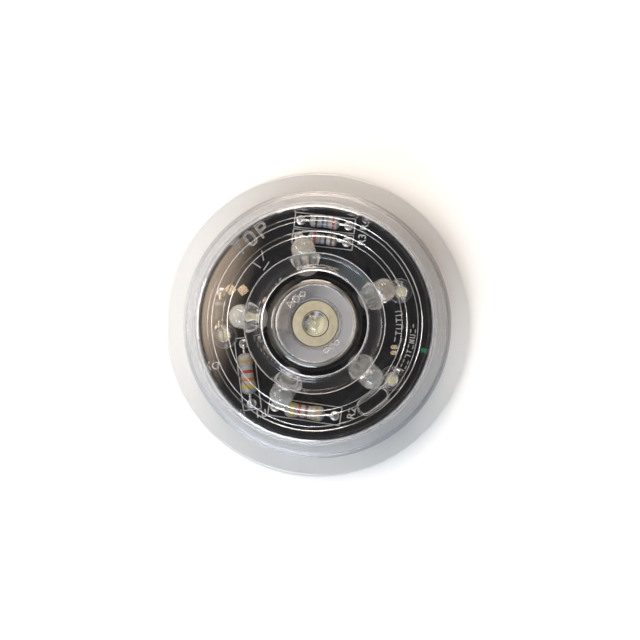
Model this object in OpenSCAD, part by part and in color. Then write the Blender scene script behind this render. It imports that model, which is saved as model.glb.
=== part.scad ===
// Round LED marker lamp: a clear lens cup over a black circuit board, closed by a flat rear cover.
// The back face lies on Z = 0, the light leaves along +Z, and +Y points to the TOP mark.

/* [Lens] */
// Outside diameter of the lens flange
flange_d = 65; // [60:0.5:70]
// Thickness of the flange
flange_t = 3; // [2.4:0.1:3.4]
// Height of the lens face above the back face
face_z = 21.2; // [21:0.1:24]
// Thickness of the lens face
face_t = 2.1; // [1.8:0.1:2.4]
// Wall thickness of the lens skirt at its rounded top edge
skirt_t = 1.2; // [1:0.1:1.6]
// Wall thickness of the lens skirt round the rear cover
foot_t = 2; // [1.9:0.1:2.1]
// Outside diameter of the skirt where it meets the flange
skirt_foot_d = 56.2; // [56:0.1:57]
// Outside diameter of the skirt at its rounded top edge
skirt_top_d = 50; // [49:0.1:51]
// Radius of the rounded top edge
edge_r = 1.9; // [1.2:0.1:2.4]

/* [Board] */
// Diameter of the circuit board
board_d = 49.4; // [48:0.1:49.5]
// Thickness of the circuit board
board_t = 1.6; // [1.2:0.1:1.6]
// Height of the board's underside above the back face
board_z = 4.8; // [4.8:0.1:5]

/* [LEDs] */
// Diameter of a lamp body
led_d = 5; // [4.8:0.1:5]
// Height of a lamp body from its flange to the tip of its dome
led_h = 8.6; // [8:0.1:8.7]
// Distance from the lamp axis to the foot of each tilted lamp body
ring_r = 12.6; // [12.4:0.1:13]
// Height of the foot of a tilted lamp body above the board
seat_h = 2.5; // [2.4:0.1:3]
// Diameter of a short upright lamp body
short_d = 4.6; // [4.4:0.1:4.8]
// Height of a short upright lamp body
short_h = 4.8; // [4.4:0.1:5.2]

/* [Rear] */
// Thickness of the rear cover
cover_t = 2.6; // [2.2:0.1:2.8]
// Distance between the two threaded inserts
insert_pitch = 32; // [30:1:34]
// Diameter of the supply cable that the grommet seals on
cable_d = 4.8; // [4:0.1:5]

/* [Hidden] */
$fn = 72;
E = 0.01;
WIRE_R = 0.3;
PIN = 0.5;
PIN_PITCH = 2.54;
PIN_HOLE_R = 0.45;
FILLET_R = 0.95;
FILLET_UNDER_H = 0.8;
FILLET_TOP_H = 0.5;
TAIL = 1;

board_top = board_z + board_t;
face_under = face_z - face_t;
COVER_GAP = 0.1;
cover_r = skirt_foot_d / 2 - foot_t - 2 * COVER_GAP;
seal_h = 1;
seal_w = 0.9;
shoulder_z = cover_t + seal_h;
cavity_foot_r = cover_r - seal_w + COVER_GAP;
cavity_top_r = skirt_top_d / 2 - skirt_t;
tail_z = board_z - TAIL;

// Ring pattern of the lens face, as radii from the lamp axis
boss_r = 7.95;
groove_r = 11.05;
slope_r = 14.3;
inner_rib = [17.8, 18.95];
outer_rib = [21.05, 22.05];
rib_h = 0.55;
RIB_DRAFT = 0.12;
groove_depth = 1.25;
groove_fillet_r = 2;
groove_fillet_x = boss_r + 1.8;
slope_drop = 0.3;
STEP_H = 0.2;
FLANGE_FOOT_ROUND = 0.5;
FLANGE_TOP_ROUND = 0.8;
SKIRT_CHAMFER = 0.5;
SKIRT_TOP_ANGLE = 12;
BOSS_EDGE = 0.15;
BOSS_WALL_H = 0.45;
CORNER_R = 0.5;
// The face bulges inward between the groove and the slope's rim, on an arc of this radius
BULGE_R = 2.98;
BULGE_RISE = 2.5;
BULGE_ANGLE = 33;
bulge_x = (groove_r + slope_r) / 2;
cone_bottom_r = 4.85;
cone_h = 3.18;
dome_rim_r = cone_bottom_r - 0.15;
dome_sag = 0.2;
dome_r = (dome_rim_r ^ 2 + dome_sag ^ 2) / (2 * dome_sag);
mark_h = 0.2;
STROKE = 0.45;
LETTER_H = 3.1;
LETTER_W = 1.9;
LETTER_O_W = 2.1;
LETTER_PITCH = 3;
LETTER_R = 21.7;
PAD_SIZE = [7.4, 3.6];
PAD_R = 19.8;
SMALL_MARK_H = 0.1;
UPPER_MARK_R = 6.2;
UPPER_MARK_PITCH = 1.65;
UPPER_MARK = [0.78, 0.52];
LOWER_MARK_R = 5.9;
LOWER_MARK_PITCH = 1.3;
LOWER_MARK = [0.6, 0.36];

// Tilted lamps: [angle round the board, tilt outwards]
TILTED = [[-11, 30], [62.4, 30], [137.4, 29], [207.5, 38], [279.2, 34]];
// Short upright lamps: [angle round the board, distance from the lamp axis]
SHORT = [[-15.3, 18.95], [150.8, 19.5], [287.4, 19.6]];
// Resistors: [centre x, centre y, direction, body length, body diameter, lead pitch]
RESISTORS = [
    [-17.9, 0.4, 60.6, 8.6, 3.1, 12.7],
    [-13.05, -13.2, -45.5, 8.4, 3.1, 12.7],
    [11.8, 13.5, -43.8, 6.2, 2.4, 10.16],
    [14.25, 16, -43.8, 6.2, 2.4, 10.16]
];
// Diode: [centre x, centre y, direction, body length, body diameter, lead pitch]
DIODE = [-14.5, 14.6, 50.4, 4.4, 2.4, 7.62];
AXIAL_LIFT = 0.15;
LEAD_BEND_R = 0.7;
TERMINALS = [[-8.1, 15.1], [-10.1, 16.8]];
PAD_W = 1.8;
PAD_T = 0.35;
GROMMET_POS = [0, 12.5];
grommet_r = cable_d / 2 + 1.3;
grommet_flange_r = grommet_r + 1.1;
grommet_flange_t = 0.9;
GROMMET_RECESS = 0.2;
TAIL_CLEARANCE_R = 1;

INSERT_R = 2.8;
INSERT_H = 4.2;
INSERT_BORE_R = 1.65;
insert_boss_r = 4;
insert_boss_top = INSERT_H + 0.4;
PIN_SLOT = 0.8;
PIN_RELIEF_R = 0.6;
sleeve_r = 4.6;
sleeve_h = 5;
SLEEVE_GAP = 0.1;
LED_FLANGE_OVER = 0.4;
led_flange_r = led_d / 2 + LED_FLANGE_OVER;

// Points on an arc about centre c, from angle a0 to a1, in n steps.
function arc(c, r, a0, a1, n) =
    [for (i = [0:n])
        c + r * [cos(a0 + (a1 - a0) * i / n), sin(a0 + (a1 - a0) * i / n)]];

// Direction of a resistor or diode, as a unit vector.
function along(part) = [cos(part[2]), sin(part[2])];

// Places where the two leads of an axial part pass through the board.
function axial_pins(part) = [for (s = [-1, 1]) [part[0], part[1]] + s * part[5] / 2 * along(part)];

// Distance from the lamp axis at which the pins of a tilted lamp reach the board.
function tilted_pin_r(spec) = ring_r - seat_h * tan(spec[1]);

// Places where two pins pass through the board, at a distance and an angle round it.
function pin_pair(angle, distance) =
    [for (s = [-1, 1])
        distance * [cos(angle), sin(angle)] + s * PIN_PITCH / 2 * [-sin(angle), cos(angle)]];

function short_pins(spec) = pin_pair(spec[0], spec[1]);

function tilted_pins(spec) = pin_pair(spec[0], tilted_pin_r(spec));

function flat(lists) = [for (l = lists) for (p = l) p];

centre_pins = [[0, -PIN_PITCH / 2], [0, PIN_PITCH / 2]];
axial_parts = concat(RESISTORS, [DIODE]);
lamp_pins = concat([for (s = TILTED) tilted_pins(s)], [for (s = SHORT) short_pins(s)]);
square_pins = concat(centre_pins, flat(lamp_pins));
round_pins = flat([for (p = axial_parts) axial_pins(p)]);

module disc(r, z0, z1) {
    translate([0, 0, z0])
        cylinder(r = r, h = z1 - z0);
}

// ---- Lens ----

// Half section of the outer surface of the lens, from the flange's foot to the lamp axis.
function lens_outside() = concat(
    arc([flange_d / 2 - FLANGE_FOOT_ROUND, FLANGE_FOOT_ROUND], FLANGE_FOOT_ROUND, -90, 0, 4),
    arc([flange_d / 2 - FLANGE_TOP_ROUND, flange_t - FLANGE_TOP_ROUND], FLANGE_TOP_ROUND, 0, 90, 5),
    [[skirt_foot_d / 2 + SKIRT_CHAMFER, flange_t]],
    [[skirt_foot_d / 2, flange_t + SKIRT_CHAMFER]],
    arc([skirt_top_d / 2 - edge_r, face_z - edge_r], edge_r, SKIRT_TOP_ANGLE, 90, 8),
    [[slope_r + STEP_H * 0.75, face_z], [slope_r, face_z - STEP_H]],
    [[groove_r, face_z - STEP_H - slope_drop], [groove_r - 0.3, face_z - groove_depth]],
    arc([groove_fillet_x, face_z - groove_depth + groove_fillet_r], groove_fillet_r, 270, 235, 5),
    [[boss_r + 0.1, face_z - BOSS_WALL_H]],
    [[boss_r, face_z - BOSS_EDGE], [boss_r - BOSS_EDGE, face_z]],
    [[0, face_z]]
);

// Section of a ring rib on the underside of the lens face, between two radii.
function rib(r) = [
    [r[0], face_under],
    [r[0] + RIB_DRAFT, face_under - rib_h],
    [r[1] - RIB_DRAFT, face_under - rib_h],
    [r[1], face_under]
];

// Half section of the inner surface of the lens, from the lamp axis to the flange's foot.
function lens_inside() = concat(
    arc([0, face_under - cone_h - dome_sag + dome_r], dome_r, 270, 270 + asin(dome_rim_r / dome_r), 6),
    [[cone_bottom_r, face_under - cone_h]],
    [[boss_r, face_under]],
    [[groove_r, face_under]],
    arc([bulge_x, face_under + BULGE_RISE], BULGE_R, 270 - BULGE_ANGLE, 270 + BULGE_ANGLE, 8),
    rib(inner_rib),
    rib(outer_rib),
    arc([cavity_top_r - CORNER_R, face_under - CORNER_R], CORNER_R, 80, SKIRT_TOP_ANGLE, 5),
    [[cavity_foot_r, shoulder_z], [cover_r + COVER_GAP, shoulder_z], [cover_r + COVER_GAP, 0]]
);

// Flat stadium standing upright, w wide and h tall.
module stadium(w, h) {
    square([w, h - w], center = true);
    for (s = [-1, 1])
        translate([0, s * (h - w) / 2])
            circle(d = w);
}

module stadium_outline(w, h) {
    difference() {
        stadium(w, h);
        stadium(w - 2 * STROKE, h - 2 * STROKE);
    }
}

// Flat ring with the given number of corners: 3 for a triangle, 4 for a square, 36 for a round one.
module ring_outline(r_out, r_in, corners) {
    difference() {
        circle(r = r_out, $fn = corners);
        circle(r = r_in, $fn = corners);
    }
}

module letter_t() {
    translate([-LETTER_W / 2, LETTER_H / 2 - STROKE])
        square([LETTER_W, STROKE]);
    translate([-STROKE / 2, -LETTER_H / 2])
        square([STROKE, LETTER_H - STROKE / 2]);
}

module letter_p() {
    bowl = LETTER_H * 0.56;
    translate([-1, -LETTER_H / 2])
        square([STROKE, LETTER_H]);
    translate([-1 + STROKE / 2, LETTER_H / 2 - bowl / 2])
        difference() {
            union() {
                translate([0, -bowl / 2])
                    square([1.1, bowl]);
                translate([1.1, 0])
                    circle(d = bowl);
            }
            translate([0, -bowl / 2 + STROKE])
                square([1.1, bowl - 2 * STROKE]);
            translate([1.1, 0])
                circle(d = bowl - 2 * STROKE);
        }
}

// Raised marks on the lens face: which way up the lamp goes, and a blank pad opposite.
module lens_marks() {
    translate([0, LETTER_R, face_z - E])
        linear_extrude(mark_h + E) {
            translate([-LETTER_PITCH, 0])
                letter_t();
            stadium_outline(LETTER_O_W, LETTER_H);
            translate([LETTER_PITCH, 0])
                letter_p();
        }
    translate([0, -PAD_R, face_z - E])
        linear_extrude(mark_h + E)
            rotate(90)
                stadium_outline(PAD_SIZE[1], PAD_SIZE[0]);
    translate([0, 0, face_z - E])
        linear_extrude(SMALL_MARK_H + E) {
            for (mark = [[-1, 3], [0, 36], [1, 4]])
                translate([mark[0] * UPPER_MARK_PITCH, UPPER_MARK_R])
                    ring_outline(UPPER_MARK[0], UPPER_MARK[1], mark[1]);
            for (s = [-1:1])
                translate([s * LOWER_MARK_PITCH, -LOWER_MARK_R])
                    ring_outline(LOWER_MARK[0], LOWER_MARK[1], 36);
        }
}

module lens() {
    color([0.93, 0.95, 0.97, 0.35]) {
        rotate_extrude($fn = 180)
            polygon(concat(lens_outside(), lens_inside()));
        lens_marks();
    }
}

// ---- Rear closure ----

module insert_places() {
    for (s = [-1, 1])
        translate([s * insert_pitch / 2, 0, 0])
            children();
}

module grommet_place() {
    translate([GROMMET_POS[0], GROMMET_POS[1], 0])
        children();
}

module rear_cover() {
    color([0.07, 0.07, 0.08])
        difference() {
            union() {
                disc(cover_r, 0, cover_t);
                insert_places()
                    disc(insert_boss_r, cover_t - E, insert_boss_top);
            }
            insert_places()
                disc(INSERT_R, -E, INSERT_H);
            grommet_place()
                disc(grommet_r, -E, cover_t + E);
        }
}

module rear_seal() {
    color([0.55, 0.2, 0.15])
        difference() {
            disc(cover_r, cover_t, shoulder_z);
            disc(cover_r - seal_w, cover_t - E, shoulder_z + E);
        }
}

module threaded_inserts() {
    color([0.8, 0.65, 0.3])
        insert_places()
            difference() {
                disc(INSERT_R, 0, INSERT_H);
                disc(INSERT_BORE_R, -E, INSERT_H + E);
            }
}

module cable_grommet() {
    color([0.1, 0.1, 0.1])
        grommet_place()
            difference() {
                union() {
                    disc(grommet_r, GROMMET_RECESS, cover_t);
                    disc(grommet_flange_r, cover_t, cover_t + grommet_flange_t);
                }
                disc(cable_d / 2, 0, cover_t + grommet_flange_t + E);
            }
}

// Resin under the board. It also holds the board up.
module potting() {
    color([0.12, 0.11, 0.12])
        difference() {
            disc(cover_r - seal_w - 0.1, cover_t, board_z);
            insert_places()
                disc(insert_boss_r, cover_t - E, insert_boss_top);
            grommet_place()
                disc(grommet_flange_r, cover_t - E, cover_t + grommet_flange_t);
            for (p = concat(square_pins, round_pins, TERMINALS))
                translate([p[0], p[1], tail_z])
                    cylinder(r = TAIL_CLEARANCE_R, h = TAIL + E, $fn = 24);
        }
}

// ---- Board ----

module circuit_board() {
    color([0.05, 0.06, 0.06])
        difference() {
            disc(board_d / 2, board_z, board_top);
            for (p = concat(square_pins, round_pins, TERMINALS))
                translate([p[0], p[1], board_z - E])
                    cylinder(r = PIN_HOLE_R, h = board_t + 2 * E, $fn = 24);
        }
}

// One fillet of solder: a short cone standing on the board.
module solder_fillet(h) {
    cylinder(r1 = FILLET_R, r2 = PIN_HOLE_R, h = h, $fn = 24);
}

module solder_joints() {
    color([0.75, 0.75, 0.76])
        difference() {
            union() {
                for (p = concat(square_pins, round_pins, TERMINALS))
                    translate([p[0], p[1], board_z])
                        mirror([0, 0, 1])
                            solder_fillet(FILLET_UNDER_H);
                for (p = round_pins)
                    translate([p[0], p[1], board_top])
                        solder_fillet(FILLET_TOP_H);
            }
            for (p = concat(round_pins, TERMINALS))
                translate([p[0], p[1], tail_z - 1])
                    cylinder(r = WIRE_R, h = board_t + 3, $fn = 24);
            for (p = square_pins)
                translate([p[0] - PIN / 2, p[1] - PIN / 2, tail_z - 1])
                    cube([PIN, PIN, board_t + 3]);
        }
}

// Square gilt pads with a pin, where the supply wires are soldered.
module supply_terminals() {
    color([0.85, 0.68, 0.35])
        for (p = TERMINALS)
            translate([p[0], p[1], 0]) {
                translate([-PAD_W / 2, -PAD_W / 2, board_top])
                    cube([PAD_W, PAD_W, PAD_T]);
                disc(WIRE_R, tail_z, board_top + E);
            }
}

// ---- Lamps ----

LED_FLANGE_H = 1;
CUP_Z = 3.6;
SHORT_CUP_Z = 1.9;
SHORT_FLANGE_H = 0.8;
SHORT_FLANGE_OVER = 0.3;
// The cup of a lead frame: its distance from the lamp's axis, outer size, floor and conical hollow
CUP_OFFSET = -0.25;
CUP_R = 0.95;
CUP_H = 0.75;
CUP_FLOOR = 0.2;
CUP_HOLLOW = [0.5, 0.8, 0.6];
CHIP = [0.5, 0.72, 0.4];
BRIDGE = [1.7, 0.9];

// Clear body of a standard lamp, standing on z = 0.
module led_body(d, h, flange_h, flange_over) {
    rotate_extrude()
        polygon(concat(
            [[0, 0], [d / 2 + flange_over, 0], [d / 2 + flange_over, flange_h], [d / 2, flange_h]],
            arc([0, h - d / 2], d / 2, 0, 90, 12)
        ));
}

// Lead frame of a lamp, down to z = -foot: a post with a cup, and a plain post.
module led_frame(cup_z, foot) {
    for (s = [-1, 1])
        translate([-PIN / 2, s * PIN_PITCH / 2 - PIN / 2, -foot])
            cube([PIN, PIN, cup_z + foot]);
    translate([-PIN / 2, -PIN_PITCH / 2 - PIN / 2, cup_z - BRIDGE[1]])
        cube([PIN, BRIDGE[0], BRIDGE[1]]);
    difference() {
        translate([0, CUP_OFFSET, cup_z - E])
            cylinder(r = CUP_R, h = CUP_H, $fn = 32);
        cup_hollow(cup_z);
    }
}

// Conical hollow in the cup of a lead frame.
module cup_hollow(cup_z) {
    translate([0, CUP_OFFSET, cup_z + CUP_FLOOR])
        cylinder(r1 = CUP_HOLLOW[0], r2 = CUP_HOLLOW[1], h = CUP_HOLLOW[2], $fn = 32);
}

// Chip under its phosphor, filling the cup of a lamp.
module led_chip(cup_z) {
    translate([0, CUP_OFFSET, cup_z + CUP_FLOOR])
        cylinder(r1 = CHIP[0], r2 = CHIP[1], h = CHIP[2], $fn = 32);
}

module place_tilted(spec) {
    rotate([0, 0, spec[0]])
        translate([ring_r, 0, board_top + seat_h])
            rotate([0, spec[1], 0])
                children();
}

module place_short(spec) {
    rotate([0, 0, spec[0]])
        translate([spec[1], 0, board_top])
            children();
}

module above_board() {
    translate([-40, -40, board_top])
        cube([80, 80, 30]);
}

module centre_led() {
    color([0.95, 0.95, 0.85, 0.5])
        difference() {
            translate([0, 0, board_top])
                led_body(led_d, led_h, LED_FLANGE_H, LED_FLANGE_OVER);
            centre_frame_shape();
            translate([0, 0, board_top])
                cup_hollow(CUP_Z);
        }
}

module centre_frame_shape() {
    translate([0, 0, board_top])
        led_frame(CUP_Z, board_t + TAIL);
}

module centre_led_frame() {
    color([0.8, 0.8, 0.8])
        centre_frame_shape();
}

module centre_led_sleeve() {
    color([0.9, 0.88, 0.8])
        difference() {
            disc(sleeve_r, board_top, board_top + sleeve_h);
            disc(led_flange_r + SLEEVE_GAP, board_top - E, board_top + LED_FLANGE_H + 2 * SLEEVE_GAP);
            disc(led_d / 2 + SLEEVE_GAP, board_top - E, board_top + sleeve_h + E);
        }
}

module led_chips() {
    color([0.95, 0.85, 0.3]) {
        translate([0, 0, board_top])
            led_chip(CUP_Z);
        for (spec = TILTED)
            place_tilted(spec)
                led_chip(CUP_Z);
        for (spec = SHORT)
            place_short(spec)
                led_chip(SHORT_CUP_Z);
    }
}

// Hollow that the frame and the phosphor take up in a tilted lamp body.
module tilted_inlay() {
    led_frame(CUP_Z, 0.5);
    cup_hollow(CUP_Z);
}

module tilted_led(i) {
    color([0.95, 0.95, 0.9, 0.5])
        place_tilted(TILTED[i])
            difference() {
                led_body(led_d, led_h, LED_FLANGE_H, LED_FLANGE_OVER);
                tilted_inlay();
            }
}

// Frame of a tilted lamp: it follows the lamp down to the board, then goes straight through.
module tilted_frame(i) {
    color([0.8, 0.8, 0.8]) {
        intersection() {
            place_tilted(TILTED[i])
                led_frame(CUP_Z, 5);
            above_board();
        }
        for (p = tilted_pins(TILTED[i]))
            translate([p[0], p[1], tail_z])
                rotate([0, 0, TILTED[i][0]])
                    translate([-PIN / 2, -PIN / 2, 0])
                        cube([PIN, PIN, board_t + TAIL + 0.1]);
    }
}

// Wedge-footed spacer that sets the tilt of a lamp.
module tilted_spacer(i) {
    color([0.88, 0.86, 0.78])
        difference() {
            intersection() {
                place_tilted(TILTED[i])
                    translate([0, 0, -10])
                        cylinder(r = led_flange_r, h = 10);
                above_board();
            }
            place_tilted(TILTED[i])
                for (s = [-1, 1])
                    translate([-PIN_SLOT / 2, s * PIN_PITCH / 2 - PIN_SLOT / 2, -10])
                        cube([PIN_SLOT, PIN_SLOT, 11]);
            for (p = tilted_pins(TILTED[i]))
                translate([p[0], p[1], board_top - 0.5])
                    cylinder(r = PIN_RELIEF_R, h = 0.9, $fn = 24);
        }
}

module short_led(i) {
    color([0.95, 0.95, 0.88, 0.5])
        place_short(SHORT[i])
            difference() {
                led_body(short_d, short_h, SHORT_FLANGE_H, SHORT_FLANGE_OVER);
                led_frame(SHORT_CUP_Z, 0.5);
                cup_hollow(SHORT_CUP_Z);
            }
}

module short_frame(i) {
    color([0.8, 0.8, 0.8])
        place_short(SHORT[i])
            led_frame(SHORT_CUP_Z, board_t + TAIL);
}

// ---- Axial parts ----

function axial_z(part) = board_top + part[4] / 2 + AXIAL_LIFT;

module place_axial(part) {
    translate([part[0], part[1], axial_z(part)])
        rotate([0, 0, part[2]])
            rotate([0, 90, 0])
                children();
}

// Resistor body with the thicker ends of its caps.
module resistor(i) {
    part = RESISTORS[i];
    half = part[3] / 2;
    r = part[4] / 2;
    color([0.82, 0.8, 0.76])
        place_axial(part)
            rotate_extrude()
                polygon([[0, -half], [r * 0.55, -half], [r, -half + 0.45 * r], [r, -half + r * 1.3],
                    [r * 0.88, -half + r * 1.6], [r * 0.88, half - r * 1.6],
                    [r, half - r * 1.3], [r, half - 0.45 * r], [r * 0.55, half], [0, half]]);
}

module diode() {
    half = DIODE[3] / 2;
    r = DIODE[4] / 2;
    bevel = 0.2;
    color([0.1, 0.1, 0.11])
        place_axial(DIODE)
            rotate_extrude()
                polygon([[0, -half], [r - bevel, -half], [r, -half + bevel],
                    [r, half - bevel], [r - bevel, half], [0, half]]);
}

// One lead: out of the body's end, round a bend and down through the board.
module axial_lead(part) {
    bend = LEAD_BEND_R;
    reach = part[5] / 2;
    z = axial_z(part);
    translate([part[3] / 2, 0, z])
        rotate([0, 90, 0])
            cylinder(r = WIRE_R, h = reach - bend - part[3] / 2, $fn = 24);
    translate([reach - bend, 0, z - bend])
        rotate([90, 0, 0])
            rotate_extrude(angle = 90, $fn = 48)
                translate([bend, 0])
                    circle(r = WIRE_R, $fn = 24);
    translate([reach, 0, tail_z])
        cylinder(r = WIRE_R, h = z - bend - tail_z, $fn = 24);
}

module axial_leads(part) {
    color([0.78, 0.78, 0.78])
        translate([part[0], part[1], 0])
            rotate([0, 0, part[2]])
                for (turn = [0, 180])
                    rotate([0, 0, turn])
                        axial_lead(part);
}

lens();
rear_cover();
rear_seal();
threaded_inserts();
cable_grommet();
potting();
circuit_board();
solder_joints();
supply_terminals();
centre_led();
centre_led_frame();
centre_led_sleeve();
led_chips();
for (i = [0:4]) {
    tilted_led(i);
    tilted_frame(i);
    tilted_spacer(i);
}
for (i = [0:2]) {
    short_led(i);
    short_frame(i);
}
for (i = [0:3]) {
    resistor(i);
    axial_leads(RESISTORS[i]);
}
diode();
axial_leads(DIODE);  // diode_leads
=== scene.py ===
"""Round LED marker lamp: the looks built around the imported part. Sizes are in millimetres."""

import math
import random
from collections import namedtuple

import bmesh
import bpy
from mathutils import Matrix, Vector


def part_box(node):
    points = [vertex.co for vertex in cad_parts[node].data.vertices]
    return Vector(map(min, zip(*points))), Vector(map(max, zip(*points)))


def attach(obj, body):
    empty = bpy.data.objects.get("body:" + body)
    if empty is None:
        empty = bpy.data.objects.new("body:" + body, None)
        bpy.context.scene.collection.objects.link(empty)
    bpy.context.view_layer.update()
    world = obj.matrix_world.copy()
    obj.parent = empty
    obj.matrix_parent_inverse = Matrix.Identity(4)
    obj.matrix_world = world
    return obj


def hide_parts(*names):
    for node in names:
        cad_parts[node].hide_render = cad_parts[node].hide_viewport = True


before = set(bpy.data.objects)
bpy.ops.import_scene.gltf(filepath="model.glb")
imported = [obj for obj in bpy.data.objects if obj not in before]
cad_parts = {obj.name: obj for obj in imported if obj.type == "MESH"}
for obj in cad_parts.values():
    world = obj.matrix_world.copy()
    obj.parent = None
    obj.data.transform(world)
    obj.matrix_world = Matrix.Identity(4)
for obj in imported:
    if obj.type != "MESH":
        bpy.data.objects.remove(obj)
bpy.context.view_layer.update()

MM = 0.001
BODY = "root"


def low(node, axis):
    """Lowest coordinate of a CAD node along an axis, in millimetres."""
    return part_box(node)[0][axis] / MM


def high(node, axis):
    """Highest coordinate of a CAD node along an axis, in millimetres."""
    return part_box(node)[1][axis] / MM


# ---- Sizes that come from the frame ----

MARK_H = 0.2
FLANGE_R = min(high("lens", 0), -low("lens", 0))
FACE_Z = high("lens", 2) - MARK_H
COVER_R = high("rear_cover", 0)
COVER_T = low("rear_seal", 2)
SHOULDER_Z = high("rear_seal", 2)
BOARD_R = high("circuit_board", 0)
BOARD_Z = low("circuit_board", 2)
BOARD_TOP = high("circuit_board", 2)
SLEEVE_R = high("centre_led_sleeve", 0)
SLEEVE_TOP = high("centre_led_sleeve", 2)
TAIL_Z = low("diode_leads", 2)
INSERT_H = high("threaded_inserts", 2)

# ---- Sizes shared with the design ----

FLANGE_T = 3.0
COVER_GAP = 0.1
FACE_T = 2.1
SKIRT_FOOT_R = 28.1
SKIRT_TOP_R = 24.67
EDGE_R = 1.9
CAVITY_TOP_R = 23.8
CAVITY_FOOT_R = 25.1
BOSS_R = 7.95
BOSS_EDGE = 0.15
BOSS_WALL_H = 0.45
GROOVE_R = 11.05
SLOPE_R = 14.3
STEP_H = 0.2
STEP_W = 0.15
BULGE_R = 2.98
BULGE_RISE = 2.5
BULGE_ANGLE = 33
RIBS = ((17.8, 18.95), (21.05, 22.05))
RIB_H = 0.55
RIB_DRAFT = 0.12
RIB_EDGE = 0.06
GROOVE_DEPTH = 1.25
GROOVE_FILLET_R = 2.0
GROOVE_FILLET_X = BOSS_R + 1.8
SLOPE_DROP = 0.3
CONE_BOTTOM_R = 4.85
CONE_H = 3.18
CONE_LIP = 0.15
WINDOW_RIM_W = 0.42
LENS_SAG = 0.2
STROKE = 0.45
LETTER_H = 3.1
LETTER_PITCH = 3.0
LETTER_R = 21.7
PAD_SIZE = (7.4, 3.6)
PAD_R = 19.8
SMALL_MARK_R = 6.3
MARK_SUNK = 0.1
MARK_SOFT = 0.1
SMALL_MARK_H = 0.1
SMALL_MARK_SOFT = 0.06

LED_D = 5.0
LED_H = 8.6
LED_RING_R = 12.6
SEAT_H = 2.5
SHORT_D = 4.6
SHORT_H = 4.8
CUP_Z = 3.6
SHORT_CUP_Z = 1.9
FLANGE_OVER = 0.4
SHORT_FLANGE_OVER = 0.3
LED_FLANGE_H = 1
SHORT_FLANGE_H = 0.8
PIN_PITCH = 2.54
WIRE_R = 0.3
LEAD_BEND_R = 0.7
TILTED = ((-11, 30), (62.4, 30), (137.4, 29), (207.5, 38), (279.2, 34))
SHORT = ((-15.3, 18.95), (150.8, 19.5), (287.4, 19.6))
Axial = namedtuple("Axial", "x y turn length d pitch")
RESISTORS = (
    Axial(-17.9, 0.4, 60.6, 8.6, 3.1, 12.7),
    Axial(-13.05, -13.2, -45.5, 8.4, 3.1, 12.7),
    Axial(11.8, 13.5, -43.8, 6.2, 2.4, 10.16),
    Axial(14.25, 16, -43.8, 6.2, 2.4, 10.16),
)
DIODE = Axial(-14.5, 14.6, 50.4, 4.4, 2.4, 7.62)
TERMINALS = ((-8.1, 15.1), (-10.1, 16.8))
SIDES = (-1, 1)
INSERT_X = 16.0
INSERT_R = 2.78
INSERT_HOLE_R = 2.8
COLLAR_R = 4
THREAD_R = 1.95
THREAD_MINOR_R = 1.66
THREAD_PITCH = 0.7
GROMMET = (0.0, 12.5)
CABLE_R = 2.4
GROMMET_R = 3.7
GROMMET_FLANGE_R = 4.8
SPACER_R = 2.9
SPACER_EDGE = 0.12
PIN_HOLE_R = 0.45
COPPER_T = 0.035
COPPER_PAD_R = 1.0
COPPER_BORE_R = 0.42
TRACK_W = 1.1
INK_T = 0.02
INK_Z = BOARD_TOP + 0.036
LEGEND_Z = BOARD_TOP + 0.045
LEGEND_LINE = 0.2
PRINT_LINE = 0.16
LED_SATIN = (0.0, 0.95)
SHORT_SATIN = (0.0, 0.75)


# ---- Mesh helpers ----

ROUNDING_STEP_DEG = 9


def to_object(name, data, *materials):
    """A new object at the origin of the shared frame, with its materials in slot order."""
    item = bpy.data.objects.new(name, data)
    bpy.context.scene.collection.objects.link(item)
    for material in materials:
        data.materials.append(material)
    return item


def finish_mesh(bm, name, sharp_deg=35):
    """Turns a bmesh in millimetres into a smooth-shaded mesh in metres, with creases left sharp."""
    bmesh.ops.recalc_face_normals(bm, faces=bm.faces)
    bm.transform(Matrix.Scale(MM, 4))
    limit = math.radians(sharp_deg)
    for edge in bm.edges:
        edge.smooth = len(edge.link_faces) == 2 and edge.calc_face_angle(0) < limit
    for face in bm.faces:
        face.smooth = True
    mesh = bpy.data.meshes.new(name)
    bm.to_mesh(mesh)
    bm.free()
    return mesh


def arc(centre, radius, start_deg, end_deg, steps):
    """Points on an arc, ends included."""
    points = []
    for i in range(steps + 1):
        x, y = polar(start_deg + (end_deg - start_deg) * i / steps, radius)
        points.append((centre[0] + x, centre[1] + y))
    return points


def rounded(corners):
    """A path of (x, y, radius) corners as plain points, with each corner rounded by its radius."""
    points = []
    last = len(corners) - 1
    for i, (x, y, radius) in enumerate(corners):
        if radius <= 0 or i in (0, last):
            points.append((x, y))
            continue
        here = Vector((x, y))
        back = Vector(corners[i - 1][:2]) - here
        ahead = Vector(corners[i + 1][:2]) - here
        turn = math.pi - back.angle(ahead)
        reach = radius * math.tan(turn / 2)
        reach = min(reach, 0.49 * back.length, 0.49 * ahead.length)
        steps = max(2, int(math.degrees(turn) / ROUNDING_STEP_DEG))
        start = here + back.normalized() * reach
        end = here + ahead.normalized() * reach
        real = reach / math.tan(turn / 2)
        centre = here + (back.normalized() + ahead.normalized()).normalized() * math.hypot(reach, real)
        a0 = math.atan2(start.y - centre.y, start.x - centre.x)
        a1 = math.atan2(end.y - centre.y, end.x - centre.x)
        sweep = (a1 - a0 + math.pi) % (2 * math.pi) - math.pi
        for k in range(steps + 1):
            a = a0 + sweep * k / steps
            points.append((centre.x + real * math.cos(a), centre.y + real * math.sin(a)))
    return points


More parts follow.
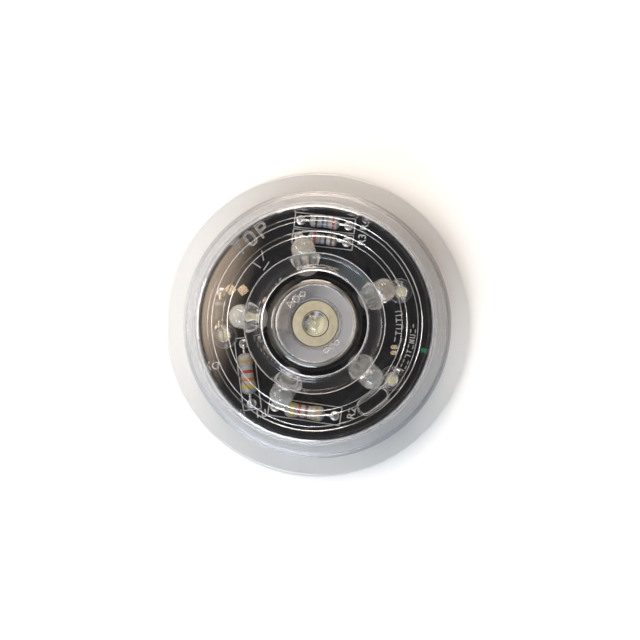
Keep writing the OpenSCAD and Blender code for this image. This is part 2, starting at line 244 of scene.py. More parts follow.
def held(points):
    """The path with a point next to each end of its long straight runs, so that they shade flat."""
    hold = 0.02
    out = []
    for a, b in zip(points, points[1:] + points[:1]):
        out.append(a)
        length = math.dist(a, b)
        if length > 8 * hold:
            for t in (hold / length, 1 - hold / length):
                out.append((a[0] + (b[0] - a[0]) * t, a[1] + (b[1] - a[1]) * t))
    return out


def spokes(count):
    """Cosine and sine of that many evenly spaced angles."""
    angles = [2 * math.pi * k / count for k in range(count)]
    return [(math.cos(a), math.sin(a)) for a in angles]


def skin(bm, a, b):
    """Faces all the way round between two rings of as many points."""
    for k in range(len(a)):
        n = (k + 1) % len(a)
        bm.faces.new((a[k], a[n], b[n], b[k]))


def revolve(profile, segments=96, closed=True, slots=None):
    """A bmesh turned from a section of (r, z) points. Points on the axis make poles.

    slots gives the material index of the band that starts at each point.
    """
    bm = bmesh.new()
    rings = []
    for r, z in profile:
        if r < 1e-6:
            rings.append([bm.verts.new((0, 0, z))])
            continue
        rings.append([bm.verts.new((r * c, r * s, z)) for c, s in spokes(segments)])
    count = len(rings) if closed else len(rings) - 1
    for i in range(count):
        a, b = rings[i], rings[(i + 1) % len(rings)]
        if len(a) == 1 and len(b) == 1:
            continue
        for k in range(segments):
            n = (k + 1) % segments
            if len(a) == 1:
                face = bm.faces.new((a[0], b[n], b[k]))
            elif len(b) == 1:
                face = bm.faces.new((a[k], a[n], b[0]))
            else:
                face = bm.faces.new((a[k], a[n], b[n], b[k]))
            if slots:
                face.material_index = slots[i]
    return bm


def tube(path, radius, segments=16):
    """A bmesh tube with capped ends along a path of points."""
    bm = bmesh.new()
    points = [Vector(p) for p in path]
    rings = []
    side = None
    for i, point in enumerate(points):
        before = points[max(i - 1, 0)]
        after = points[min(i + 1, len(points) - 1)]
        forward = (after - before).normalized()
        if side is None:
            side = forward.orthogonal().normalized()
        side = (side - forward * side.dot(forward)).normalized()
        up = forward.cross(side)
        rings.append([bm.verts.new(point + radius * (c * side + s * up)) for c, s in spokes(segments)])
    for a, b in zip(rings, rings[1:]):
        skin(bm, a, b)
    bm.faces.new(rings[0][::-1])
    bm.faces.new(rings[-1])
    return bm


def placed(bm, matrix):
    """The same bmesh, moved by a matrix."""
    bm.transform(matrix)
    return bm


def merge(parts):
    """One bmesh holding several."""
    whole = bmesh.new()
    for bm in parts:
        holder = bpy.data.meshes.new("holder")
        bm.to_mesh(holder)
        bm.free()
        whole.from_mesh(holder)
        bpy.data.meshes.remove(holder)
    return whole


def evaluated(item):
    """A bmesh of an object with its modifiers or its curve fill applied."""
    graph = bpy.context.evaluated_depsgraph_get()
    mesh = bpy.data.meshes.new_from_object(item.evaluated_get(graph), depsgraph=graph)
    bm = bmesh.new()
    bm.from_mesh(mesh)
    bpy.data.meshes.remove(mesh)
    return bm


def from_curve(curve):
    """A bmesh of a filled curve."""
    holder = to_object("curve", curve)
    bm = evaluated(holder)
    bpy.data.objects.remove(holder)
    return bm


def plate(outlines, thickness, bevel=0.0, z=0.0):
    """A flat plate from closed outlines, with bevelled edges. An outline inside another is a hole."""
    curve = bpy.data.curves.new("plate", "CURVE")
    curve.dimensions = "2D"
    curve.fill_mode = "BOTH"
    curve.extrude = max(thickness / 2 - bevel, 1e-4)
    curve.bevel_depth = bevel
    curve.bevel_resolution = 2
    curve.offset = -bevel
    for outline in outlines:
        spline = curve.splines.new("POLY")
        spline.points.add(len(outline) - 1)
        for point, (x, y) in zip(spline.points, outline):
            point.co = (x, y, 0, 1)
        spline.use_cyclic_u = True
    bm = from_curve(curve)
    bmesh.ops.remove_doubles(bm, verts=bm.verts, dist=1e-4)
    bm.transform(moved(0, 0, z + thickness / 2))
    return bm


def circle(x, y, r, segments=48):
    """Outline of a circle."""
    return [(x + r * c, y + r * s) for c, s in spokes(segments)]


def stadium(w, h, x=0.0, y=0.0):
    """Outline of a stadium that is w wide and h tall, with its round ends on the short sides."""
    steps = 12
    r = min(w, h) / 2
    dx, dy = w / 2 - r, h / 2 - r
    points = []
    for cx, cy, start in ((dx, dy, 0), (-dx, dy, 90), (-dx, -dy, 180), (dx, -dy, 270)):
        points += arc((x + cx, y + cy), r, start, start + 90, steps)
    clean = []
    for p in points:
        if not clean or math.dist(p, clean[-1]) > 1e-4:
            clean.append(p)
    if math.dist(clean[0], clean[-1]) < 1e-4:
        clean.pop()
    return clean


def polar(angle_deg, radius):
    """Point at an angle and a distance from the origin."""
    angle = math.radians(angle_deg)
    return radius * math.cos(angle), radius * math.sin(angle)


def turned(angle_deg, axis="Z"):
    """Matrix of a turn about an axis through the origin."""
    return Matrix.Rotation(math.radians(angle_deg), 4, axis)


def moved(x, y, z=0.0):
    """Matrix of a shift."""
    return Matrix.Translation((x, y, z))


# ---- Materials ----

LENS_IOR = 1.585
EPOXY_IOR = 1.53


def grey(value):
    """A colour with no hue."""
    return (value, value, value)


class Nodes:
    """A material's node tree with short ways to add and link nodes."""

    def __init__(self, name):
        self.material = bpy.data.materials.new(name)
        self.material.use_nodes = True
        self.tree = self.material.node_tree
        self.tree.nodes.clear()
        self.out = self.add("ShaderNodeOutputMaterial")

    def add(self, kind, inputs=()):
        """A new node, with its inputs set from (name, value) pairs."""
        node = self.tree.nodes.new(kind)
        for name, value in inputs:
            node.inputs[name].default_value = value
        return node

    def link(self, source, target):
        self.tree.links.new(source, target)

    def coords(self, scale):
        """Object coordinates in millimetres, times a scale."""
        tex = self.add("ShaderNodeTexCoord")
        mapping = self.add("ShaderNodeMapping", [("Scale", (scale / MM,) * 3)])
        self.link(tex.outputs["Object"], mapping.inputs["Vector"])
        return mapping.outputs["Vector"]

    def noise(self, scale, detail=3.0):
        """Noise with about that many features per millimetre."""
        node = self.add("ShaderNodeTexNoise", [("Scale", 1.0), ("Detail", detail), ("Roughness", 0.55)])
        self.link(self.coords(scale), node.inputs["Vector"])
        return node.outputs["Fac"]

    def ramp(self, source, low_value, high_value, start=0.3, end=0.7):
        """Maps a 0 to 1 source onto a range of values."""
        node = self.add("ShaderNodeMapRange", [
            ("From Min", start), ("From Max", end), ("To Min", low_value), ("To Max", high_value)])
        self.link(source, node.inputs["Value"])
        return node.outputs["Result"]

    def colours(self, source, stops):
        """A colour ramp through (place, colour) stops."""
        node = self.add("ShaderNodeValToRGB")
        ramp = node.color_ramp
        while len(ramp.elements) < len(stops):
            ramp.elements.new(0.5)
        for element, (place, colour) in zip(ramp.elements, stops):
            element.position = place
            element.color = (*colour, 1)
        self.link(source, node.inputs["Fac"])
        return node.outputs["Color"]

    def bump(self, source, height):
        """A bump of that height in millimetres."""
        node = self.add("ShaderNodeBump", [("Distance", height * MM)])
        self.link(source, node.inputs["Height"])
        return node.outputs["Normal"]

    def surface(self, shader):
        self.link(shader, self.out.inputs["Surface"])
        return self.material


def mottled(name, dark, light, rough, grain=1.2, bump=0.01, bump_grain=6.0, metallic=0.0, coat=0.0,
            specular=0.5):
    """A solid material whose colour, roughness and relief all vary a little."""
    n = Nodes(name)
    shader = n.add("ShaderNodeBsdfPrincipled", [
        ("Metallic", metallic), ("Specular IOR Level", specular),
        ("Coat Weight", coat), ("Coat Roughness", 0.06)])
    n.link(n.colours(n.noise(grain), ((0.35, dark), (0.65, light))), shader.inputs["Base Color"])
    n.link(n.ramp(n.noise(grain * 2.3), rough[0], rough[1]), shader.inputs["Roughness"])
    n.link(n.bump(n.noise(bump_grain, 2.0), bump), shader.inputs["Normal"])
    return n.surface(shader.outputs["BSDF"])


def clear(name, tint, shade, rough=(0.0, 0.02), grain=0.25, bump=0.001, openness=1.0, ior=LENS_IOR):
    """A clear or milky moulding. Rays from lamps pass straight through it, dimmed to shade."""
    n = Nodes(name)
    shader = n.add("ShaderNodeBsdfPrincipled", [("Transmission Weight", openness), ("IOR", ior)])
    lighter = tuple(min(1.0, c * 1.01) for c in tint)
    n.link(n.colours(n.noise(grain), ((0.3, tint), (0.7, lighter))), shader.inputs["Base Color"])
    n.link(n.ramp(n.noise(grain * 3), rough[0], rough[1]), shader.inputs["Roughness"])
    n.link(n.bump(n.noise(grain, 1.0), bump), shader.inputs["Normal"])
    passing = n.add("ShaderNodeBsdfTransparent", [("Color", (*shade, 1))])
    path = n.add("ShaderNodeLightPath")
    mix = n.add("ShaderNodeMixShader")
    n.link(path.outputs["Is Shadow Ray"], mix.inputs["Fac"])
    n.link(shader.outputs["BSDF"], mix.inputs[1])
    n.link(passing.outputs["BSDF"], mix.inputs[2])
    return n.surface(mix.outputs["Shader"])


CLEAR_LENS = clear("clear_lens", (0.975, 0.975, 0.99), (0.9, 0.9, 0.91))
# Painted shade: the grey-violet tint darkens the clear skirt walls to stand in for the shade on them.
SHADED_SATIN_WALL = clear("satin_wall_painted_shade", (0.45, 0.45, 0.48), (0.72, 0.72, 0.73), rough=(0.11, 0.14), bump=0.0,
                   openness=0.9)
# Painted shade: a nearly black, half-opaque band at the foot of the cone stands in for the dark ring of shade
# there.
WINDOW_RIM = clear("window_rim_painted_shade", grey(0.02), grey(0.4), rough=(0.3, 0.4), openness=0.5)
# Painted highlight: the letters' sides are milky white, so that they show as light outlines.
LIT_LETTER_EDGE = clear("letter_edge_painted_highlight", (0.99, 0.99, 0.98), grey(0.8), rough=(0.05, 0.1), openness=0.66)
# Painted shade: a dark grey tint darkens the clear groove round the boss.
SHADED_GROOVE = clear("groove_painted_shade", (0.2, 0.2, 0.21), grey(0.6), rough=(0.03, 0.06))
# Painted shade: a grey tint dims the clear slope and what is seen through it.
SHADED_SLOPE = clear("slope_painted_shade", (0.55, 0.55, 0.57), grey(0.8))
FLANGE_TOP = clear("flange_top", grey(0.99), grey(0.84), rough=(0.16, 0.24), bump=0.002)
SATIN_FOOT = clear("satin_foot", grey(0.92), grey(0.86), rough=(0.35, 0.5), bump=0.01,
                   openness=0.7)
# Painted highlight: the sides of the small marks and the pad are milky white, so that they show as light
# lines.
LIT_MARK_EDGE = clear("mark_edge_painted_highlight", grey(0.95), grey(0.85), rough=(0.08, 0.14), openness=0.75)
CONE_SATIN = clear("cone_satin", (0.96, 0.95, 0.96), (0.85, 0.85, 0.86), rough=(0.05, 0.09))
LED_EPOXY = clear("led_epoxy", (0.99, 0.99, 0.97), (0.95, 0.95, 0.94), grain=0.6, bump=0.0004,
                  openness=0.97, ior=EPOXY_IOR)
LED_SIDE = clear("led_side", (0.96, 0.95, 0.92), (0.88, 0.88, 0.86), rough=(0.01, 0.04), grain=0.8,
                 openness=0.52, ior=EPOXY_IOR)
COVER_PLASTIC = mottled("cover_plastic", (0.012, 0.012, 0.013), (0.02, 0.02, 0.021), (0.42, 0.58),
                        bump=0.012, bump_grain=5.0)
SEAL_RUBBER = mottled("seal_silicone", (0.03, 0.03, 0.032), (0.05, 0.05, 0.052), (0.4, 0.55), bump=0.006)
BRASS = mottled("insert_brass", (0.55, 0.36, 0.12), (0.72, 0.5, 0.2), (0.22, 0.4), bump=0.004,
                metallic=1.0)
GROMMET_RUBBER = mottled("grommet_rubber", grey(0.008), grey(0.02), (0.5, 0.7))
RESIN = mottled("potting_resin", (0.01, 0.01, 0.011), (0.02, 0.02, 0.021), (0.12, 0.3), bump_grain=1.0)
BOARD = mottled("board_laminate", grey(0.003), (0.006, 0.006, 0.007), (0.4, 0.55),
                grain=0.5, bump=0.003, bump_grain=3.0, specular=0.15)
TRACK = mottled("board_track", grey(0.006), grey(0.012), (0.35, 0.5),
                grain=0.8, bump=0.002, bump_grain=4.0, specular=0.2)
TIN = mottled("pad_tin", (0.5, 0.49, 0.46), (0.72, 0.71, 0.68), (0.2, 0.42), bump_grain=3.0, metallic=1.0)
SOLDER = mottled("solder", (0.36, 0.35, 0.33), (0.58, 0.57, 0.55), (0.28, 0.42), bump=0.012,
                 bump_grain=2.5, metallic=1.0)
GILT = mottled("terminal_gilt", (0.66, 0.53, 0.32), (0.84, 0.72, 0.48), (0.18, 0.34), bump=0.006,
               metallic=1.0)
FRAME_STEEL = mottled("frame_steel", grey(0.55), (0.82, 0.82, 0.81), (0.15, 0.35), bump=0.004,
                      metallic=1.0)
LEAD_WIRE = mottled("lead_wire", (0.5, 0.5, 0.49), (0.78, 0.78, 0.77), (0.15, 0.35), bump=0.004,
                    metallic=1.0)
# Black of the spacers' sides; the centre sleeve's bore takes it too, as painted shade.
SPACER_BLACK_AND_BORE_SHADE = mottled("spacer_side_and_painted_bore_shade", grey(0.01), grey(0.02), (0.35, 0.5), grain=0.7)
SLEEVE_CREAM = mottled("spacer_nylon", (0.68, 0.61, 0.4), (0.82, 0.74, 0.52), (0.35, 0.5), grain=0.7)
# Painted light: the spacers' top faces are a light cream while their sides are black, so that the lamp bases
# look lit.
LIT_SPACER_TOP = mottled("spacer_top_painted_light", (0.76, 0.73, 0.64), (0.9, 0.87, 0.78), (0.4, 0.55), grain=0.7)
PHOSPHOR = mottled("phosphor", (0.8, 0.74, 0.44), (0.92, 0.87, 0.6), (0.4, 0.6), grain=3.0, bump=0.02,
                   bump_grain=9.0)
INK = mottled("legend_ink", (0.62, 0.62, 0.58), (0.8, 0.8, 0.76), (0.4, 0.6), grain=2.5, bump=0.004)
GREEN_INK = mottled("green_ink", (0.0, 0.12, 0.04), (0.0, 0.22, 0.08), (0.3, 0.5), grain=2.5, bump=0.004)
LACQUER = mottled("resistor_lacquer", (0.42, 0.41, 0.39), (0.56, 0.55, 0.52), (0.22, 0.4), grain=1.5,
                  bump=0.02, bump_grain=2.0, coat=0.3)
DIODE_EPOXY = mottled("diode_epoxy", (0.02, 0.018, 0.016), (0.04, 0.036, 0.032), (0.3, 0.5), bump=0.008)
BAND_COLOURS = {
    "yellow": ((0.6, 0.48, 0.02), (0.78, 0.62, 0.05)),
    "red": ((0.42, 0.04, 0.02), (0.55, 0.07, 0.03)),
    "brown": ((0.12, 0.05, 0.02), (0.2, 0.08, 0.04)),
    "orange": ((0.62, 0.16, 0.02), (0.75, 0.22, 0.04)),
    "black": (grey(0.01), grey(0.025)),
    "grey": ((0.18, 0.19, 0.2), (0.26, 0.27, 0.28)),
    "blue": ((0.05, 0.09, 0.18), (0.08, 0.13, 0.25)),
    "gold": ((0.42, 0.28, 0.08), (0.6, 0.42, 0.14)),
}
BANDS = {name: mottled("band_" + name, dark, light, (0.25, 0.4), grain=2.0, bump=0.01, coat=0.2)
         for name, (dark, light) in BAND_COLOURS.items()}


def put(name, bm, material, *replaced, slot=None, sharp_deg=35):
    """A finished piece of the lamp from a bmesh in millimetres."""
    materials = material if isinstance(material, (list, tuple)) else [material]
    piece = to_object(name, finish_mesh(bm, name, sharp_deg), *materials)
    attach(piece, BODY)
    if replaced:
        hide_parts(*replaced)
    return piece


# ---- Lens ----


def lens_section():
    """Half section of the lens, from the middle of its face, out and down, and back up inside."""
    under = FACE_Z - FACE_T
    fillet = arc((GROOVE_FILLET_X, FACE_Z - GROOVE_DEPTH + GROOVE_FILLET_R), GROOVE_FILLET_R, 235, 270, 10)
    boss = rounded([
        (0, FACE_Z, 0),
        (BOSS_R, FACE_Z, BOSS_EDGE),
        (BOSS_R + 0.1, FACE_Z - BOSS_WALL_H, 0.1),
        (*fillet[0], 0),
    ])
    boss = boss[:-1] + fillet[:-1]
    outside = [
        (GROOVE_FILLET_X, FACE_Z - GROOVE_DEPTH, 0),
        (GROOVE_R - 0.3, FACE_Z - GROOVE_DEPTH, 0.08),
        (GROOVE_R, FACE_Z - STEP_H - SLOPE_DROP, 0.08),
        (SLOPE_R, FACE_Z - STEP_H, 0.05),
        (SLOPE_R + STEP_W, FACE_Z, 0.06),
        (SKIRT_TOP_R, FACE_Z, EDGE_R),
        (SKIRT_FOOT_R, FLANGE_T, 0.7),
        (FLANGE_R, FLANGE_T, 0.8),
        (FLANGE_R, 0, 0.4),
        (COVER_R + COVER_GAP, 0, 0.15),
        (COVER_R + COVER_GAP, SHOULDER_Z, 0.1),
        (CAVITY_FOOT_R, SHOULDER_Z, 0.15),
        (CAVITY_TOP_R, under, 0.5),
    ]
    ribs = []
    for inner, outer in reversed(RIBS):
        ribs += [
            (outer, under, RIB_EDGE),
            (outer - RIB_DRAFT, under - RIB_H, RIB_EDGE),
            (inner + RIB_DRAFT, under - RIB_H, RIB_EDGE),
            (inner, under, RIB_EDGE),
        ]
    points = boss + rounded(outside + ribs + [(SLOPE_R, under, 0)])
    middle = (GROOVE_R + SLOPE_R) / 2
    points += arc((middle, under + BULGE_RISE), BULGE_R, 270 + BULGE_ANGLE, 270 - BULGE_ANGLE, 14)
    foot = under - CONE_H
    points += rounded([(GROOVE_R, under, 0), (BOSS_R, under, 0.1), (CONE_BOTTOM_R, foot, 0)])[1:-1]
    rim_share = WINDOW_RIM_W / (BOSS_R - CONE_BOTTOM_R)
    points.append((CONE_BOTTOM_R + WINDOW_RIM_W, under - CONE_H * (1 - rim_share)))
    points.append((CONE_BOTTOM_R, foot))
    rim = CONE_BOTTOM_R - CONE_LIP
    points.append((rim, foot))
    dome_r = (rim ** 2 + LENS_SAG ** 2) / (2 * LENS_SAG)
    half = math.degrees(math.asin(rim / dome_r))
    tip = foot - LENS_SAG
    points += arc((0, tip + dome_r), dome_r, 270 + half, 270, 14)
    points[-1] = (0, tip)
    return points


def outlined(w, h, x, y):
    """Outer and inner outline of a stadium drawn with the letters' stroke."""
    return [stadium(w, h, x, y), stadium(w - 2 * STROKE, h - 2 * STROKE, x, y)]


def letter_outlines():
    """Outlines of the upright mark, read with +Y up."""
    top, bottom = LETTER_R + LETTER_H / 2, LETTER_R - LETTER_H / 2
    half = STROKE / 2
    tx = -LETTER_PITCH
    arm = 0.95
    letter_t = [
        (tx - arm, top), (tx - arm, top - STROKE), (tx - half, top - STROKE), (tx - half, bottom),
        (tx + half, bottom), (tx + half, top - STROKE), (tx + arm, top - STROKE), (tx + arm, top),
    ][::-1]
    letter_o = outlined(2.1, LETTER_H, 0, LETTER_R)
    px = LETTER_PITCH - 1
    bowl = LETTER_H * 0.56
    cx, cy = px + 1.1 + half, top - bowl / 2
    outer = [(px, bottom), (px + STROKE, bottom), (px + STROKE, top - bowl)]
    outer += arc((cx, cy), bowl / 2, -90, 90, 14)
    outer += [(px, top)]
    inner_r = bowl / 2 - STROKE
    inner = [(px + STROKE, cy - inner_r)]
    inner += arc((cx, cy), inner_r, -90, 90, 12)
    inner += [(px + STROKE, cy + inner_r)]
    return [[letter_t], letter_o, [outer, inner]]


def small_marks():
    """Place, outer radius, inner radius and corner count of each outlined shape, in two short rows."""
    rows = (
        (SMALL_MARK_R - 0.1, 0.78, 0.52, ((-1.65, 3), (0, 36), (1.65, 4))),
        (-SMALL_MARK_R + 0.4, 0.6, 0.36, ((-1.3, 36), (0, 36), (1.3, 36))),
    )
    return [(x, y, outer_r, inner_r, corners)
            for y, outer_r, inner_r, row in rows for x, corners in row]


def lens_marks():
    """The raised marks of the lens face as one bmesh, sunk a little into the face."""
    base = FACE_Z - MARK_SUNK
    parts = []
    for outlines in letter_outlines() + [outlined(*PAD_SIZE, 0, -PAD_R)]:
        parts.append(plate(outlines, MARK_H + MARK_SUNK, MARK_SOFT, base))
    for x, y, outer_r, inner_r, corners in small_marks():
        outlines = [circle(x, y, outer_r, corners), circle(x, y, inner_r, corners)]
        parts.append(plate(outlines, SMALL_MARK_H + MARK_SUNK, SMALL_MARK_SOFT, base))
    return merge(parts)


def joined(base, extra, name):
    """The union of two closed bmeshes in millimetres, as a third."""
    parts = ((name + "_a", base), (name + "_b", extra))
    objects = [to_object(part_name, finish_mesh(bm, part_name)) for part_name, bm in parts]
    union = objects[0].modifiers.new("union", "BOOLEAN")
    union.operation = "UNION"
    union.solver = "EXACT"
    union.object = objects[1]
    bm = evaluated(objects[0])
    for item in objects:
        bpy.data.objects.remove(item)
    bm.transform(Matrix.Scale(1 / MM, 4))
    return bm


LENS_MATERIALS = (CLEAR_LENS, SHADED_SATIN_WALL, SATIN_FOOT, LIT_MARK_EDGE, CONE_SATIN, FLANGE_TOP, SHADED_GROOVE,
                  SHADED_SLOPE, WINDOW_RIM, LIT_LETTER_EDGE)


def lens_zone(face):
    """The material of a lens face, chosen by where it lies. Small offsets allow for rounding."""
    x, y, z = face.calc_center_median()
    r = math.hypot(x, y)
    under = FACE_Z - FACE_T
    tilted = face.normal.z < 0.97
    if z < 0.05 and r > COVER_R:
        return SATIN_FOOT
    if r > SKIRT_FOOT_R and z < FLANGE_T + 0.01:
        return FLANGE_TOP
    if r > SKIRT_TOP_R + 0.6 or (r > CAVITY_TOP_R - 0.1 and z < under - 0.6):
        return SHADED_SATIN_WALL
    if CONE_BOTTOM_R - 0.16 < r < CONE_BOTTOM_R + WINDOW_RIM_W and z < under - CONE_H / 2:
        return WINDOW_RIM
    if CONE_BOTTOM_R - 0.01 < r < BOSS_R and z < under - 0.02:
        return CONE_SATIN
    if z > FACE_Z - 0.02 and tilted:
        return LIT_LETTER_EDGE if y > LETTER_R - LETTER_H else LIT_MARK_EDGE
    # The step at the slope's edge takes the milky mark material: a painted highlight ring.
    if SLOPE_R < r < SLOPE_R + STEP_W and z > FACE_Z - 0.25:
        return LIT_MARK_EDGE
    if BOSS_R < r < GROOVE_R - 0.3 and FACE_Z - GROOVE_DEPTH - 0.02 < z < FACE_Z - 0.16:
        return SHADED_GROOVE
    if GROOVE_R < r < SLOPE_R and z > FACE_Z - 0.6:
        return SHADED_SLOPE
    return CLEAR_LENS


def make_lens():
    # The section is open, so the points held() adds from its end to its start are left out.
    section = held(lens_section())[:-2]
    bm = joined(revolve(section, 288, closed=False), lens_marks(), "lens_moulding")
    bm.normal_update()
    for face in bm.faces:
        face.material_index = LENS_MATERIALS.index(lens_zone(face))
    put("lens_moulding", bm, LENS_MATERIALS, "lens", slot="clear_lens", sharp_deg=30)


# ---- Rear closure ----


def make_rear():
    holes = [circle(side * INSERT_X, 0, INSERT_HOLE_R, 64) for side in SIDES]
    holes.append(circle(*GROMMET, GROMMET_R, 64))
    parts = [plate([circle(0, 0, COVER_R, 240)] + holes, COVER_T, 0.12)]
    foot = COVER_T - 0.2
    collar = rounded([
        (INSERT_HOLE_R, foot, 0),
        (COLLAR_R, foot, 0),
        (COLLAR_R, INSERT_H + 0.4, 0.3),
        (INSERT_HOLE_R, INSERT_H + 0.4, 0.1),
        (INSERT_HOLE_R, foot, 0),
    ])[:-1]
    for side in SIDES:
        parts.append(placed(revolve(collar, 64), moved(side * INSERT_X, 0)))
    put("rear_cover_moulding", merge(parts), COVER_PLASTIC, "rear_cover", slot="cover_plastic")

    seal_r, seal_z = COVER_R - 0.45, (COVER_T + SHOULDER_Z) / 2
    seal = [(seal_r + 0.42 * c, seal_z + 0.48 * s) for c, s in spokes(16)]
    put("rear_seal_ring", revolve(seal, 180), SEAL_RUBBER, "rear_seal", slot="seal_silicone")

    thread = []
    z = 0.35
    while z < INSERT_H - 0.5:
        thread += [(THREAD_MINOR_R, z), (THREAD_MINOR_R, z + 0.1), (THREAD_R, z + 0.35), (THREAD_R, z + 0.42)]
        z += THREAD_PITCH
    wall = [(2.05, 0), (INSERT_R - 0.08, 0), (INSERT_R, 0.1), (INSERT_R, INSERT_H)]
    wall += [(THREAD_MINOR_R, INSERT_H)] + thread[::-1]
    parts = [placed(revolve(wall, 48), moved(side * INSERT_X, 0)) for side in SIDES]
    put("threaded_insert_pair", merge(parts), BRASS, "threaded_inserts", slot="insert_brass")

    top = COVER_T + 0.9
    plug_r = GROMMET_R - 0.02
    grommet = rounded([
        (CABLE_R, 0.35, 0),
        (CABLE_R + 0.15, 0.2, 0.05),
        (plug_r, 0.2, 0.1),
        (plug_r, COVER_T, 0.05),
        (GROMMET_FLANGE_R, COVER_T, 0.2),
        (GROMMET_FLANGE_R, top, 0.3),
        (CABLE_R, top, 0.1),
        (CABLE_R, 0.35, 0),
    ])[:-1]
    bm = placed(revolve(grommet, 72), moved(*GROMMET))
    put("cable_grommet_moulding", bm, GROMMET_RUBBER, "cable_grommet", slot="grommet_rubber")


# ---- Board ----


def pin_pair(angle_deg, radius):
    """The two pin places of a lamp at an angle and a distance from the lamp axis."""
    x, y = polar(angle_deg, radius)
    tx, ty = polar(angle_deg + 90, PIN_PITCH / 2)
    return [(x - tx, y - ty), (x + tx, y + ty)]


def axial_pins(part):
    """The two pin places of an axial part."""
    dx, dy = polar(part.turn, part.pitch / 2)
    return [(part.x - dx, part.y - dy), (part.x + dx, part.y + dy)]


def tilted_pin_r(tilt_deg):
    """How far from the lamp axis the pins of a tilted lamp meet the board."""
    return LED_RING_R - SEAT_H * math.tan(math.radians(tilt_deg))


ROUND_PINS = [p for part in RESISTORS + (DIODE,) for p in axial_pins(part)]
LED_PINS = ([(0, -PIN_PITCH / 2), (0, PIN_PITCH / 2)]
            + [p for angle, tilt in TILTED for p in pin_pair(angle, tilted_pin_r(tilt))]
            + [p for angle, radius in SHORT for p in pin_pair(angle, radius)])
ALL_PINS = LED_PINS + ROUND_PINS + list(TERMINALS)


def strip(points, width, z0, height):
    """A flat strip along a path on the board, whose straight runs overlap at the joints."""
    bm = bmesh.new()
    for a, b in zip(points, points[1:]):
        start, end = Vector(a), Vector(b)
        forward = (end - start).normalized()
        side = Vector((-forward.y, forward.x)) * width / 2
        start, end = start - forward * width * 0.35, end + forward * width * 0.35
        corners = [start + side, start - side, end - side, end + side]
        lower = [bm.verts.new((c.x, c.y, z0)) for c in corners]
        upper = [bm.verts.new((c.x, c.y, z0 + height)) for c in corners]
        bm.faces.new(lower[::-1])
        bm.faces.new(upper)
        skin(bm, lower, upper)
    return bm


def make_board():
    outlines = [circle(0, 0, BOARD_R, 240)] + [circle(x, y, PIN_HOLE_R, 20) for x, y in ALL_PINS]
    put("board_blank", plate(outlines, BOARD_TOP - BOARD_Z, 0.06, BOARD_Z), BOARD, "circuit_board",
        slot="board_laminate")

    pads = []
    for x, y in ALL_PINS:
        ring = [circle(x, y, COPPER_PAD_R, 32), circle(x, y, COPPER_BORE_R, 20)]
        pads.append(plate(ring, COPPER_T, 0, BOARD_TOP))
    put("board_pads", merge(pads), TIN, slot="solder")

    routes = []
    order = sorted(ROUND_PINS + list(TERMINALS), key=lambda p: math.atan2(p[1], p[0]))
    for a, b in zip(order[::2], order[1::2]):
        middle = math.degrees((math.atan2(a[1], a[0]) + math.atan2(b[1], b[0])) / 2)
        corner = polar(middle, (math.hypot(*a) + math.hypot(*b)) / 2 + 1.2)
        routes.append([a, corner, b])
    for angle, tilt in TILTED:
        inner = pin_pair(angle, tilted_pin_r(tilt))
        routes.append([inner[0], polar(angle - 14, 9), polar(angle - 36, 9), polar(angle - 50, 9.6)])
        routes.append([inner[1], polar(angle + 10, 13.4), polar(angle + 22, 16.2)])
    tracks = [strip(points, TRACK_W, BOARD_TOP - 0.01, COPPER_T) for points in routes]
    put("board_tracks", merge(tracks), TRACK, slot="board_laminate")


def legend_text(body, x, y, height, turn_deg):
    """A plain reference mark on the board, as a thin film of ink."""
    curve = bpy.data.curves.new("legend", "FONT")
    curve.body = body
    curve.size = height * 1.35
    curve.align_x = "CENTER"
    curve.align_y = "CENTER"
    curve.extrude = 0.01
    curve.offset = 0.02
    return placed(from_curve(curve), moved(x, y, LEGEND_Z) @ turned(turn_deg))


def glyph(kind, w, h, line):
    """Outlines of a made-up character that stands for small print."""
    bar = [(-line / 2, -h / 2), (line / 2, -h / 2), (line / 2, h / 2), (-line / 2, h / 2)]
    cap = [(-w / 2, h / 2 - line), (w / 2, h / 2 - line), (w / 2, h / 2), (-w / 2, h / 2)]
    foot = [(x, y - h + line) for x, y in cap]
    middle = [(x * 0.8, y - h / 2 + line / 2) for x, y in cap]
    left = [(x - w / 2 + line / 2, y) for x, y in bar]
    right = [(x + w / 2 - line / 2, y) for x, y in bar]
    return ((bar,), (cap, left), (left, middle), (cap, middle, foot), (left, right), (cap, foot, right))[kind]


def inked(outline):
    """A film of ink on the board from one outline."""
    return plate([outline], INK_T, 0, INK_Z)


def small_print(radius, start_deg, step_deg, count, w, h, seed):
    """A row of made-up characters round the board."""
    choose = random.Random(seed)
    parts = []
    for k in range(count):
        angle = start_deg + step_deg * k
        x, y = polar(angle, radius)
        for outline in glyph(choose.randrange(6), w, h, PRINT_LINE):
            parts.append(placed(inked(outline), moved(x, y) @ turned(angle)))
    return parts


